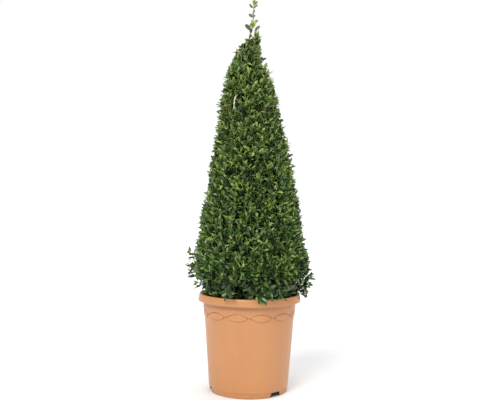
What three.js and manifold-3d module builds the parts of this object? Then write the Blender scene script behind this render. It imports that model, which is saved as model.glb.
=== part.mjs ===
// Boxwood cone topiary in a round nursery pot, as an assembly of separate named solids: the pot, the soil
// in it, the trunk with its boughs, and the masses of foliage. Each mass is one closed, uneven body that
// marks the outline of the leaves it stands for. Millimetres, Z up; the pot stands on Z = 0 with its axis
// on the Z axis, and -Y is the front.
import * as THREE from "three";
import { mergeVertices } from "three/addons/utils/BufferGeometryUtils.js";
import Module from "manifold-3d";

const wasm = await Module();
wasm.setup();

// ---- Driving dimensions ----
const POT_HEIGHT = 245;
const RIM_RADIUS = 130; // outer radius at the lower edge of the rim
const BASE_RADIUS = 100.4; // outer radius of the wall, just above the foot
const NECK_RADIUS = 112.6; // outer radius of the wall, just below the collar
const WALL = 2; // thickness of the pot's wall
const FOOT_HEIGHT = 12; // a gutter this deep runs between the flat of the base and the ring of three feet
const BASE_FLAT = 70; // radius of the flat the pot stands on, inside the gutter
const SOIL_LEVEL = 218; // the trunk is cut flat at this height
const PLANT_TOP = 994; // highest leaf of the leader
const SIDE_REACH = 163; // how far the left and right sprays reach from the axis
const FRONT_REACH = 152; // how far the front and back sprays reach from the axis
const GAP = 0.4; // clearance between neighbouring solids

// ---- Pot ----
const NECK_HEIGHT = 176; // top of the plain wall
const COLLAR_HEIGHT = 190; // the wall thickens into a collar from here
const COLLAR_RADIUS = 115.2;
const COLLAR_TOP_RADIUS = 116.8;
const SKIRT_HEIGHT = 226.5; // lower edge of the rim's turned-down skirt
const RIM_TOP_RADIUS = 127.2;
const LIP_RADIUS = 123; // inner edge of the rim's top
const FOOT_RADIUS = 98;
const FOOT_SPAN = 120; // degrees from one notch between feet to the next
const FIRST_NOTCH = 43; // degrees from the front, towards +X
const NOTCH_FOOT_HALF = 18.5; // half width of a notch at the ground
const NOTCH_TOP_HALF = 11;
const DRAIN_RADIUS = 4.5;
const DRAIN_RING = 85; // radius of the ring of drain holes in the gutter's roof
const DRAIN_COUNT = 6;
const POT_SIDES = 44;

// ---- Plant: height and sideways offset of the trunk's centre line ----
const STEM_LINE = [
  { height: SOIL_LEVEL, x: 0, y: 0 },
  { height: 300, x: 4, y: -3 },
  { height: 480, x: 2, y: 3 },
  { height: 640, x: -3, y: 1 },
  { height: 760, x: -6, y: -2 },
  { height: 850, x: -12, y: 0 },
  { height: 893, x: -10, y: 1 },
  { height: 912, x: -3, y: 0 },
  { height: 940, x: -1, y: 0 },
  { height: PLANT_TOP - 6, x: 3, y: 0 },
];
// Height and radius of the trunk: a root flare on the soil, then a long even taper.
const TRUNK_TAPER = [
  { height: SOIL_LEVEL, radius: 17 },
  { height: SOIL_LEVEL + 6, radius: 13.5 },
  { height: SOIL_LEVEL + 16, radius: 11 },
  { height: SOIL_LEVEL + 34, radius: 10 },
  { height: 400, radius: 8.4 },
  { height: 560, radius: 6.6 },
  { height: 720, radius: 4.6 },
  { height: 850, radius: 2.8 },
  { height: 910, radius: 1.8 },
  { height: PLANT_TOP - 6, radius: 1 },
];
const ROOT_LOBES = 5; // ridges of the root flare
const TRUNK_SIDES = 10;
const TRUNK_STEP = 28; // spacing of the trunk's rings

// Boughs that fork off the trunk low down and rise into the cone's hollow underside.
const BOUGHS = {
  bough_left: { fork: 236, angle: 172, reach: 74, radius: 5.2 },
  bough_front: { fork: 229, angle: 245, reach: 62, radius: 4.6 },
  bough_right: { fork: 243, angle: 338, reach: 78, radius: 5.4 },
  bough_back: { fork: 232, angle: 84, reach: 66, radius: 4.8 },
};
const BOUGH_TOP = 318; // all of them end above the underside, before they are cut where they enter it
const SIDE_LEADER = { foot: 862, top: 902, reach: 21, radius: 1.9 };

// Height and radius of the clipped cone's outline, from inside its hollow underside to its top.
const CONE_OUTLINE = [
  { height: 306, radius: 22 },
  { height: 297, radius: 58 },
  { height: 277, radius: 94 },
  { height: 269, radius: 114 },
  { height: 279, radius: 131 },
  { height: 300, radius: 143 },
  { height: 324, radius: 147 },
  { height: 366, radius: 140 },
  { height: 417, radius: 130 },
  { height: 493, radius: 117 },
  { height: 595, radius: 98 },
  { height: 697, radius: 78 },
  { height: 774, radius: 62 },
  { height: 825, radius: 45 },
  { height: 860, radius: 31 },
  { height: 886, radius: 16 },
  { height: 895, radius: 8 },
];
// Height and sideways offset of the cone's own middle line, which isn't quite the trunk's.
const CONE_LINE = [
  { height: 255, x: 2, y: 0 },
  { height: 400, x: 1, y: 1 },
  { height: 560, x: 0, y: 2 },
  { height: 700, x: -7, y: 0 },
  { height: 800, x: -10, y: -1 },
  { height: 840, x: -14, y: 0 },
  { height: 876, x: -6, y: 0 },
  { height: 900, x: -5, y: 0 },
];
const CONE_SIDES = 34;
const CONE_ROWS = 28;
const CONE_SWELL = 4.5; // how far the clipped surface swells and sinks

// Smooth, repeatable unevenness of a point, from about -1 to 1; wave is the size of one swelling.
function swell(point, wave, seed) {
  const k = (2 * Math.PI) / wave;
  const a = Math.sin(k * point.x + 1.3 * seed + 1.7 * Math.sin(0.6 * k * point.z + seed));
  const b = Math.sin(k * point.y + 2.1 * seed + 1.5 * Math.sin(0.7 * k * point.x - seed));
  const c = Math.sin(0.8 * k * point.z + 0.7 * seed + 1.6 * Math.sin(0.5 * k * point.y + 2 * seed));
  return (a + b + c) / 3;
}

// A profile of [radius, height] pairs turned round the Z axis.
function turned(profile, sides) {
  const points = profile.map(([radius, height]) => new THREE.Vector2(radius, height));
  return new THREE.LatheGeometry(points, sides).rotateX(Math.PI / 2);
}

// Moves each vertex of a geometry by a function of its place.
function moved(geometry, move) {
  const place = geometry.getAttribute("position");
  const point = new THREE.Vector3();
  for (let i = 0; i < place.count; i++) {
    point.fromBufferAttribute(place, i);
    move(point);
    place.setXYZ(i, point.x, point.y, point.z);
  }
  return geometry;
}

// The same surface with its shared vertices merged, so that only position is left.
function welded(geometry) {
  const bare = geometry.clone();
  bare.deleteAttribute("normal");
  bare.deleteAttribute("uv");
  return mergeVertices(bare, 1e-3);
}

// A geometry grown by a clearance all over, to cut its neighbours with.
function grown(geometry, by) {
  const skin = welded(geometry);
  skin.computeVertexNormals();
  const normal = skin.getAttribute("normal");
  const place = skin.getAttribute("position");
  for (let i = 0; i < place.count; i++)
    place.setXYZ(
      i,
      place.getX(i) + by * normal.getX(i),
      place.getY(i) + by * normal.getY(i),
      place.getZ(i) + by * normal.getZ(i),
    );
  return skin;
}

function solidOf(geometry) {
  const skin = welded(geometry);
  return new wasm.Manifold(
    new wasm.Mesh({
      numProp: 3,
      vertProperties: skin.getAttribute("position").array,
      triVerts: new Uint32Array(skin.index.array),
    }),
  );
}

function geometryOf(solid) {
  const mesh = solid.getMesh();
  return new THREE.BufferGeometry()
    .setAttribute("position", new THREE.BufferAttribute(new Float32Array(mesh.vertProperties), 3))
    .setIndex(new THREE.BufferAttribute(mesh.triVerts, 1));
}

// One geometry less several others, each grown by the clearance first; slivers that come loose are dropped.
function cutRound(geometry, neighbours) {
  let solid = solidOf(geometry);
  for (const other of neighbours) solid = solid.subtract(solidOf(grown(other, GAP)));
  const bodies = solid.decompose().sort((a, b) => b.volume() - a.volume());
  return geometryOf(bodies[0]);
}

// A smooth curve of one or more values over height, from rows that hold them by name.
function overHeight(rows, ...names) {
  const heights = rows.map((row) => row.height);
  const values = rows.flatMap((row) => names.map((name) => row[name]));
  return new THREE.CubicInterpolant(heights, values, names.length);
}

const stemLine = overHeight(STEM_LINE, "x", "y");
const coneLine = overHeight(CONE_LINE, "x", "y");
const taper = new THREE.LinearInterpolant(
  TRUNK_TAPER.map((row) => row.height),
  TRUNK_TAPER.map((row) => row.radius),
  1,
);

function stemAt(height) {
  const [x, y] = stemLine.evaluate(THREE.MathUtils.clamp(height, SOIL_LEVEL, PLANT_TOP - 6));
  return { x, y };
}

// ---- Pot: a thin shell with a collar and a turned-down rim, on a flat base and three feet ----
function potProfile() {
  const underRim = POT_HEIGHT - 1.8 * WALL;
  const outside = [
    [0, 0],
    [BASE_FLAT, 0],
    [BASE_FLAT + 4, FOOT_HEIGHT],
    [FOOT_RADIUS - WALL - 1, FOOT_HEIGHT],
    [FOOT_RADIUS - WALL, 0],
    [FOOT_RADIUS, 0],
    [FOOT_RADIUS + 1, FOOT_HEIGHT - 0.5],
    [BASE_RADIUS, FOOT_HEIGHT + 1.5],
    [NECK_RADIUS, NECK_HEIGHT],
    [COLLAR_RADIUS, COLLAR_HEIGHT],
    [COLLAR_TOP_RADIUS, SKIRT_HEIGHT - 2],
    [COLLAR_TOP_RADIUS + 1, underRim - 5],
    [LIP_RADIUS - 1, underRim],
    [RIM_TOP_RADIUS - WALL, underRim],
    [RIM_RADIUS - WALL, SKIRT_HEIGHT],
    [RIM_RADIUS - 0.6, SKIRT_HEIGHT],
    [RIM_RADIUS, SKIRT_HEIGHT + 2],
    [RIM_TOP_RADIUS + 0.4, POT_HEIGHT - 2.5],
    [RIM_TOP_RADIUS - 1.5, POT_HEIGHT],
    [LIP_RADIUS, POT_HEIGHT],
  ];
  const inside = [
    [LIP_RADIUS - 2.5, POT_HEIGHT - 1.5],
    [COLLAR_TOP_RADIUS - WALL + 0.6, underRim - 6],
    [COLLAR_TOP_RADIUS - WALL, SKIRT_HEIGHT - 2],
    [COLLAR_RADIUS - WALL, COLLAR_HEIGHT],
    [NECK_RADIUS - WALL, NECK_HEIGHT],
    [BASE_RADIUS - WALL, FOOT_HEIGHT + WALL + 2],
    [BASE_RADIUS - WALL - 2, FOOT_HEIGHT + WALL],
    [BASE_FLAT + 2, FOOT_HEIGHT + WALL],
    [BASE_FLAT - 2, WALL],
    [0, WALL],
  ];
  return [...outside, ...inside];
}

// A notch through the foot ring: a trapezium run out along the radius, at an angle from the front.
function notch(angle) {
  const outline = new THREE.Shape([
    new THREE.Vector2(-NOTCH_FOOT_HALF, -1),
    new THREE.Vector2(NOTCH_FOOT_HALF, -1),
    new THREE.Vector2(NOTCH_TOP_HALF, FOOT_HEIGHT),
    new THREE.Vector2(-NOTCH_TOP_HALF, FOOT_HEIGHT),
  ]);
  return new THREE.ExtrudeGeometry(outline, { depth: 40, bevelEnabled: false })
    .translate(0, 0, FOOT_RADIUS - 20)
    .rotateX(Math.PI / 2)
    .rotateZ(THREE.MathUtils.degToRad(angle));
}

function drain(x, y) {
  return new THREE.CylinderGeometry(DRAIN_RADIUS, DRAIN_RADIUS, 6 * WALL, 8)
    .rotateX(Math.PI / 2)
    .translate(x, y, FOOT_HEIGHT + WALL / 2);
}

function potGeometry() {
  let pot = solidOf(turned(potProfile(), POT_SIDES));
  for (let angle = FIRST_NOTCH; angle < 360; angle += FOOT_SPAN)
    pot = pot.subtract(solidOf(notch(angle)));
  for (let i = 0; i < DRAIN_COUNT; i++) {
    const angle = (2 * Math.PI * i) / DRAIN_COUNT;
    const hole = drain(DRAIN_RING * Math.cos(angle), DRAIN_RING * Math.sin(angle));
    pot = pot.subtract(solidOf(hole));
  }
  return geometryOf(pot);
}

// ---- Soil: fills the pot to below the rim, a little lower at the wall ----
function soilGeometry() {
  const floor = FOOT_HEIGHT + WALL + GAP;
  const inset = WALL + 2 * GAP;
  return turned(
    [
      [0, WALL + GAP],
      [BASE_FLAT - inset, WALL + GAP],
      [BASE_FLAT + 2 - GAP, floor],
      [BASE_RADIUS - inset - 2.4, floor],
      [BASE_RADIUS - inset, floor + 3],
      [NECK_RADIUS - inset, NECK_HEIGHT],
      [COLLAR_RADIUS - inset, COLLAR_HEIGHT],
      [COLLAR_RADIUS - inset, SOIL_LEVEL - 8],
      [COLLAR_RADIUS - 16, SOIL_LEVEL - 3],
      [50, SOIL_LEVEL - GAP],
      [0, SOIL_LEVEL - GAP],
    ],
    32,
  );
}

// ---- Trunk: one tapering limb from the flat cut on the soil to the leader's tip ----
function trunkGeometry() {
  const top = PLANT_TOP - 6;
  const heights = TRUNK_TAPER.slice(0, 4).map((row) => row.height);
  for (let z = heights.at(-1) + TRUNK_STEP; z < top; z += TRUNK_STEP) heights.push(z);
  heights.push(top);
  const profile = heights.map((z) => [taper.evaluate(z)[0], z]);
  const trunk = turned([[0, SOIL_LEVEL], ...profile, [0, top]], TRUNK_SIDES);
  return moved(trunk, (point) => {
    const flare = Math.exp(-(point.z - SOIL_LEVEL) / 14);
    const lobe = Math.cos(ROOT_LOBES * Math.atan2(point.y, point.x));
    const spread = 1 + 0.16 * flare * lobe;
    const stem = stemAt(point.z);
    point.x = point.x * spread + stem.x;
    point.y = point.y * spread + stem.y;
  });
}

// ---- Boughs: tapering limbs that leave the trunk outwards and turn up ----
function limbGeometry(path, radius, sides = 7, rows = 5) {
  const rings = [];
  for (let i = 0; i <= rows; i++) rings.push([radius * (1 - (0.38 * i) / rows), i / rows]);
  return moved(turned([[0, 0], ...rings, [0, 1]], sides), (point) => {
    const centre = path.getPoint(point.z);
    const along = path.getTangent(point.z);
    const across = new THREE.Quaternion().setFromUnitVectors(new THREE.Vector3(0, 0, 1), along);
    point.setZ(0).applyQuaternion(across).add(centre);
  });
}

function boughGeometry({ fork, angle, reach, radius }) {
  const stem = stemAt(fork);
  const heading = THREE.MathUtils.degToRad(angle);
  const way = new THREE.Vector3(Math.cos(heading), Math.sin(heading), 0);
  const start = new THREE.Vector3(stem.x, stem.y, fork - 4);
  const turn = start.clone().addScaledVector(way, 0.7 * reach).setZ(fork + 14);
  const end = start.clone().addScaledVector(way, reach).setZ(BOUGH_TOP);
  return limbGeometry(new THREE.QuadraticBezierCurve3(start, turn, end), radius);
}

function sideLeaderGeometry() {
  const { foot, top, reach, radius } = SIDE_LEADER;
  const stem = stemAt(foot);
  const start = new THREE.Vector3(stem.x, stem.y, foot);
  const turn = new THREE.Vector3(stem.x + 0.9 * reach, stem.y, foot + 12);
  const end = new THREE.Vector3(stem.x + reach, stem.y, top);
  return limbGeometry(new THREE.QuadraticBezierCurve3(start, turn, end), radius);
}

// ---- Clipped cone: its outline turned round its leaning middle line, with an uneven surface ----
function coneGeometry() {
  const outline = new THREE.SplineCurve(
    CONE_OUTLINE.map(({ radius, height }) => new THREE.Vector2(radius, height)),
  ).getPoints(CONE_ROWS);
  const profile = outline.map((point) => [point.x, point.y]);
  const hollow = CONE_OUTLINE[0].height;
  const high = CONE_OUTLINE.at(-1).height;
  const cone = turned([[0, hollow + 1], ...profile, [0, high + 1]], CONE_SIDES);
  return moved(cone, (point) => {
    const radius = Math.hypot(point.x, point.y);
    const share = Math.min(1, radius / 60);
    const out = share * CONE_SWELL * (swell(point, 120, 3) + 0.7 * swell(point, 62, 8));
    const [x, y] = coneLine.evaluate(Math.min(point.z, CONE_LINE.at(-1).height));
    const scale = radius > 0 ? 1 + out / radius : 1;
    const low = THREE.MathUtils.clamp((hollow - point.z) / 30, 0, 1);
    point.z += 1.8 * CONE_SWELL * share * low * swell(point, 80, 5);
    point.x = point.x * scale + x;
    point.y = point.y * scale + y;
  });
}

// ---- Small masses: an uneven ball fitted to the box between its lowest and highest corner ----
function lump({ low, high, seed }, sides = 11, rows = 7) {
  const ball = moved(new THREE.SphereGeometry(1, sides, rows), (point) => {
    point.multiplyScalar(1 + 0.24 * swell(point, 1.9, seed));
  });
  ball.computeBoundingBox();
  const { min, max } = ball.boundingBox;
  const share = (value, from, to, start, end) => start + ((end - start) * (value - from)) / (to - from);
  return moved(ball, (point) => {
    point.x = share(point.x, min.x, max.x, low[0], high[0]);
    point.y = share(point.y, min.y, max.y, low[1], high[1]);
    point.z = share(point.z, min.z, max.z, low[2], high[2]);
  });
}

// Unclipped growth round the tip of the leader.
const LEADER_MASSES = {
  foliage_leader_low: { low: [-18, -13, 906], high: [20, 13, 940], seed: 1 },
  foliage_leader_middle: { low: [-11, -8, 945], high: [10, 8, 960], seed: 2 },
  foliage_leader_top: { low: [-13, -10, 967], high: [12, 10, PLANT_TOP], seed: 3 },
  foliage_side_tuft: { low: [1, -9, 890], high: [20, 9, 912], seed: 4 },
};
// Loose sprays at the cone's foot, which stand out past the pot and hang over its rim.
const FOOT_MASSES = {
  foliage_left_spray: { low: [-SIDE_REACH, -30, 248], high: [-112, 26, 366], seed: 5 },
  foliage_right_spray: { low: [110, -34, 228], high: [SIDE_REACH, 26, 334], seed: 6 },
  foliage_front_left_spray: { low: [-70, -FRONT_REACH + 4, 240], high: [-40, -106, 292], seed: 7 },
  foliage_front_middle_spray: { low: [4, -FRONT_REACH, 231], high: [60, -104, 292], seed: 8 },
  foliage_front_right_spray: { low: [64, -136, 238], high: [92, -96, 290], seed: 11 },
  foliage_back_left_spray: { low: [-66, 104, 236], high: [-14, FRONT_REACH - 4, 292], seed: 9 },
  foliage_back_right_spray: { low: [28, 100, 234], high: [80, FRONT_REACH, 290], seed: 10 },
};

// ---- Assembly ----
const MATERIALS = {
  plastic: new THREE.MeshStandardMaterial({ color: 0xdf9c6b, roughness: 0.45, metalness: 0 }),
  soil: new THREE.MeshStandardMaterial({ color: 0x1e1713, roughness: 0.95, metalness: 0 }),
  bark: new THREE.MeshStandardMaterial({ color: 0x9c8a63, roughness: 0.85, metalness: 0 }),
  leaf: new THREE.MeshStandardMaterial({ color: 0x3c6524, roughness: 0.5, metalness: 0 }),
};

const topiary = new THREE.Group();
function add(name, geometry, material) {
  const mesh = new THREE.Mesh(geometry, material);
  mesh.name = name;
  topiary.add(mesh);
  return geometry;
}

const pot = add("pot", potGeometry(), MATERIALS.plastic);
add("potting_soil", soilGeometry(), MATERIALS.soil);
const trunk = add("trunk", trunkGeometry(), MATERIALS.bark);
const sideLeader = sideLeaderGeometry();
add("side_leader", cutRound(sideLeader, [trunk]), MATERIALS.bark);
const limbs = [trunk, sideLeader];
const cone = coneGeometry();
add("foliage_cone", cutRound(cone, limbs), MATERIALS.leaf);
for (const [name, size] of Object.entries(BOUGHS))
  add(name, cutRound(boughGeometry(size), [trunk, cone]), MATERIALS.bark);
const placed = [cone];
for (const [name, size] of Object.entries({ ...LEADER_MASSES, ...FOOT_MASSES })) {
  const mass = lump(size);
  add(name, cutRound(mass, [...limbs, pot, ...placed]), MATERIALS.leaf);
  placed.push(mass);
}

export default topiary;
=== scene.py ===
"""Looks of the potted boxwood cone topiary: leaves, twigs, bark, compost and the moulded pot."""

import math

import bpy
import numpy as np
from mathutils import Matrix, Vector
from mathutils.bvhtree import BVHTree
from mathutils.kdtree import KDTree


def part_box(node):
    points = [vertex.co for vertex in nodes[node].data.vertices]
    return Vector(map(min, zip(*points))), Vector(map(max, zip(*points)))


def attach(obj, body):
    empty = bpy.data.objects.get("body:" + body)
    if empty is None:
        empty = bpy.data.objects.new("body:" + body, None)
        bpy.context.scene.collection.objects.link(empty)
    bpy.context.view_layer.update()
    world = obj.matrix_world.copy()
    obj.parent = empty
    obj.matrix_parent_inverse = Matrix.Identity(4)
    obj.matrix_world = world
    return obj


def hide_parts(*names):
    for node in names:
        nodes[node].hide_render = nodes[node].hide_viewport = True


MM = 0.001
SEED = 41
MOST_TRIANGLES = 180_000  # in one joined piece

# Camera: nearly level with the middle of the plant, with a normal lens. In metres, mm and degrees.
CAMERA_DISTANCE = 1.770
CAMERA_HEIGHT = 0.490
CAMERA_SIDE = -0.0022
CAMERA_LENS = 50
CAMERA_SENSOR = 36
CAMERA_PITCH = -0.29
CAMERA_ROLL = 0.8

# Leaves, and how many shoots of them grow in each part of the crown. Lengths in metres.
LEAF_LENGTH = 0.0168
LEAF_WIDTH = 0.0082
LEAF_BEND = (0.12, 0.16)  # mean and spread of how far a leaf's tip turns down, in leaf lengths
LEAF_SKEW = 0.05  # spread of how far it turns aside
LEAF_FOOT = 0.0009  # how far leaves start from the middle of their shoot
SHELL_SHOOTS = 3700
UNDERSIDE_SHOOTS = 240
INNER_SHOOTS = 1150
SKIRT_SHOOTS = 420
SHOOT_REACH = -0.0107  # shoots end about this far under the surface of the CAD crown
SHOOT_LENGTH = (0.020, 0.036)
INNER_DEPTH = (0.014, 0.034)  # how much deeper the inner shoots end
UNDERSIDE_RING = (0.055, 0.128)  # radii between which shoots grow under the crown
UNDERSIDE_BELOW = 0.15  # a height under all of it
SKIRT_RING = (0.035, 0.124)  # radii between which they grow low over the compost
SKIRT_HEIGHT = (0.238, 0.262)
SKIRT_FLARE = (0.100, 0.5)  # beyond this radius they rise, by this much of what is over it
# Open gaps in that growth: heading and half width in degrees.
SKIRT_GAPS = ((259, 8), (318, 10), (25, 7), (95, 9), (150, 8), (215, 6))
OPEN_ABOVE = 0.38  # the crown's shell is left open where its unevenness is over this
BARE_LOW, BARE_HIGH = 0.706, 0.729  # heights of the front bough's bare stretch
BARE_GAP = 0.0120  # leaves keep this far from it
BRANCH_GAP = 0.018  # and side branches start this far from it

# Plain leaf colours (linear), from old and dark to young and yellow-green.
LEAF_COLOURS = {
    "deep": (0.025, 0.058, 0.019),
    "dark": (0.045, 0.094, 0.027),
    "middle": (0.076, 0.144, 0.035),
    "fresh": (0.120, 0.212, 0.044),
    "light": (0.184, 0.290, 0.060),
    "bright": (0.262, 0.370, 0.080),
    "young": (0.316, 0.416, 0.098),
}
SHADES = len(LEAF_COLOURS)

# What leaf colours are multiplied by: in the shade, higher up in the sun, and at the very top.
TINTS = {"shade": (1.0, 1.0, 1.0), "sun": (1.09, 1.0, 1.03), "top": (1.24, 1.02, 1.0)}

# Pot and compost colours (linear), from dark to light, and what the pot's are multiplied by in its
# grooves and pits: painted shade in those recesses.
POT_TONES = ((0.474, 0.200, 0.066), (0.520, 0.223, 0.076))
GROOVE_PAINTED_SHADE = (0.68, 0.55, 0.42)
PIT_PAINTED_SHADE = (0.24, 0.17, 0.11)
SOIL_TONES = ((0.006, 0.004, 0.003), (0.020, 0.013, 0.009), (0.06, 0.04, 0.026))

# Bark colours (linear), from the cracks to the ridges.
TRUNK_TONES = ((0.09, 0.065, 0.04), (0.26, 0.21, 0.13), (0.45, 0.38, 0.26))
BOUGH_TONES = ((0.38, 0.35, 0.18), (0.62, 0.61, 0.36), (0.80, 0.79, 0.50))
TWIG_TONES = ((0.11, 0.12, 0.045), (0.22, 0.21, 0.09), (0.36, 0.32, 0.18))
YOUNG_TONES = ((0.15, 0.14, 0.05), (0.40, 0.37, 0.17))
YOUNG_WOOD = 0.86  # the trunk's bark is young above this height

rng = np.random.default_rng(SEED)
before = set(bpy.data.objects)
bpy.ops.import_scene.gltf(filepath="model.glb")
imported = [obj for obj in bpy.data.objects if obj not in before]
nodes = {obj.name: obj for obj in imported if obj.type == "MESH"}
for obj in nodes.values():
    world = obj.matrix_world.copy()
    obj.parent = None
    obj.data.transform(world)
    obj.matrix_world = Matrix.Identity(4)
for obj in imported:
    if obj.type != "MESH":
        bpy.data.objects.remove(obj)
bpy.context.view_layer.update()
scene = bpy.context.scene


# ---------------------------------------------------------------- small helpers

UP = np.array([0, 0, 1.0])
FRONT = np.array([0, -1.0, 0])


def unit(v):
    return v / np.maximum(np.linalg.norm(v, axis=-1, keepdims=True), 1e-9)


def smoothstep(x, low, high):
    t = np.clip((x - low) / (high - low), 0, 1)
    return t * t * (3 - 2 * t)


def mesh_piece(name, verts, faces, materials, indices=None):
    """A smooth mesh object from vertices (n, 3) and triangles (m, 3)."""
    mesh = bpy.data.meshes.new(name)
    verts = np.ascontiguousarray(verts, np.float32)
    faces = np.ascontiguousarray(faces, np.int32)
    count, sides = faces.shape
    mesh.vertices.add(len(verts))
    mesh.vertices.foreach_set("co", verts.ravel())
    mesh.loops.add(count * sides)
    mesh.loops.foreach_set("vertex_index", faces.ravel())
    mesh.polygons.add(count)
    mesh.polygons.foreach_set("loop_start", np.arange(0, count * sides, sides, dtype=np.int32))
    for material in materials:
        mesh.materials.append(material)
    if indices is not None:
        mesh.polygons.foreach_set("material_index", np.ascontiguousarray(indices, np.int32))
    mesh.polygons.foreach_set("use_smooth", np.full(count, True))
    mesh.update(calc_edges=True)
    mesh.validate()
    piece = bpy.data.objects.new(name, mesh)
    scene.collection.objects.link(piece)
    return piece


def register(piece, slot, *replaced):
    """Attach a piece to the root body and hide the CAD nodes it replaces; slot is not used."""
    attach(piece, "root")
    if replaced:
        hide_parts(*replaced)


def node_points(name):
    """The different vertices of a CAD node."""
    points = np.array([v.co for v in nodes[name].data.vertices])
    return np.unique(np.round(points, 5), axis=0)


def random_radius(inner, outer):
    """A radius between two, even by area."""
    return math.sqrt(rng.uniform(inner**2, outer**2))


# ---------------------------------------------------------------- materials


def new_material(name):
    material = bpy.data.materials.new(name)
    material.use_nodes = True
    shader = material.node_tree.nodes["Principled BSDF"]
    return material, shader


def noise(tree, scale, detail, rough, stretch=(1, 1, 1)):
    """A noise texture in the row's frame, stretched along its axes."""
    coords = tree.nodes.new("ShaderNodeTexCoord")
    mapping = tree.nodes.new("ShaderNodeMapping")
    mapping.inputs["Scale"].default_value = stretch
    texture = tree.nodes.new("ShaderNodeTexNoise")
    texture.inputs["Scale"].default_value = scale
    texture.inputs["Detail"].default_value = detail
    texture.inputs["Roughness"].default_value = rough
    tree.links.new(coords.outputs["Object"], mapping.inputs["Vector"])
    tree.links.new(mapping.outputs["Vector"], texture.inputs["Vector"])
    return texture.outputs["Fac"]


def ramp(tree, value, stops):
    """The colour that a value picks from stops of (value, colour)."""
    node = tree.nodes.new("ShaderNodeValToRGB")
    elements = node.color_ramp.elements
    while len(elements) < len(stops):
        elements.new(0.5)
    for element, (place, colour) in zip(elements, stops):
        element.position = place
        element.color = (*colour, 1)
    tree.links.new(value, node.inputs["Fac"])
    return node.outputs["Color"]


def bumped(tree, shader, value, strength, distance):
    bump = tree.nodes.new("ShaderNodeBump")
    bump.inputs["Strength"].default_value = strength
    bump.inputs["Distance"].default_value = distance
    tree.links.new(value, bump.inputs["Height"])
    tree.links.new(bump.outputs["Normal"], shader.inputs["Normal"])


def leaf_material(name, colour):
    material, shader = new_material("leaf_" + name)
    shader.inputs["Base Color"].default_value = (*colour, 1)
    shader.inputs["Roughness"].default_value = 0.31
    shader.inputs["Specular IOR Level"].default_value = 0.48
    return material


def pot_material(name, shade):
    """Plastic in the colour of terracotta, darker by a painted shade in the grooves and pits moulded
    into it.
    """
    material, shader = new_material(name)
    tree = material.node_tree
    tone = noise(tree, 14, 5, 0.6, (1, 1, 0.5))
    dark, light = (np.array(colour) * shade for colour in POT_TONES)
    colour = ramp(tree, tone, [(0.3, dark), (0.7, light)])
    tree.links.new(colour, shader.inputs["Base Color"])
    gloss = noise(tree, 60, 4, 0.6, (1, 1, 0.4))
    grey = ramp(tree, gloss, [(0.3, (0.34,) * 3), (0.7, (0.46,) * 3)])
    tree.links.new(grey, shader.inputs["Roughness"])
    shader.inputs["Specular IOR Level"].default_value = 0.7
    bumped(tree, shader, noise(tree, 900, 3, 0.5), 0.12, 0.0004)
    return material


def soil_material():
    material, shader = new_material("damp_compost")
    tree = material.node_tree
    colour = ramp(tree, noise(tree, 260, 6, 0.7), list(zip((0.3, 0.6, 0.8), SOIL_TONES)))
    tree.links.new(colour, shader.inputs["Base Color"])
    shader.inputs["Roughness"].default_value = 0.9
    bumped(tree, shader, noise(tree, 500, 5, 0.7), 0.6, 0.002)
    return material


def bark_material(name, tones, grain, young_above=None):
    """Bark with streaks along the limb; above a height it turns to the green-brown of young wood."""
    material, shader = new_material(name)
    tree = material.node_tree
    value = noise(tree, grain, 6, 0.65, (1, 1, 0.18))
    colour = ramp(tree, value, list(zip((0.3, 0.52, 0.75), tones)))
    if young_above:
        young = ramp(tree, value, list(zip((0.3, 0.75), YOUNG_TONES)))
        coords = tree.nodes.new("ShaderNodeTexCoord")
        parts = tree.nodes.new("ShaderNodeSeparateXYZ")
        height = tree.nodes.new("ShaderNodeMapRange")
        height.inputs["From Min"].default_value = young_above
        height.inputs["From Max"].default_value = young_above + 0.05
        mix = tree.nodes.new("ShaderNodeMix")
        mix.data_type = "RGBA"
        tree.links.new(coords.outputs["Object"], parts.inputs["Vector"])
        tree.links.new(parts.outputs["Z"], height.inputs["Value"])
        tree.links.new(height.outputs["Result"], mix.inputs["Factor"])
        tree.links.new(colour, mix.inputs["A"])
        tree.links.new(young, mix.inputs["B"])
        colour = mix.outputs["Result"]
    tree.links.new(colour, shader.inputs["Base Color"])
    shader.inputs["Roughness"].default_value = 0.8
    bumped(tree, shader, value, 0.5, 0.001)
    return material


leaf_materials = [
    leaf_material(f"{name}_in_{place}", np.multiply(colour, tint))
    for place, tint in TINTS.items()
    for name, colour in LEAF_COLOURS.items()
]
pot_plastic = pot_material("terracotta_coloured_plastic", (1, 1, 1))
# Copies of the pot's plastic, darker in its grooves and pits: painted shade.
groove_painted_shade_plastic = pot_material("plastic_with_painted_shade_in_grooves", GROOVE_PAINTED_SHADE)
pit_painted_shade_plastic = pot_material("plastic_with_painted_shade_in_pits", PIT_PAINTED_SHADE)
compost = soil_material()
trunk_bark = bark_material("bark_of_trunk", TRUNK_TONES, 120, YOUNG_WOOD)
bough_bark = bark_material("bark_of_boughs", BOUGH_TONES, 160)
twig_bark = bark_material("bark_of_twigs", TWIG_TONES, 300)


# ---------------------------------------------------------------- pot

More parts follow.
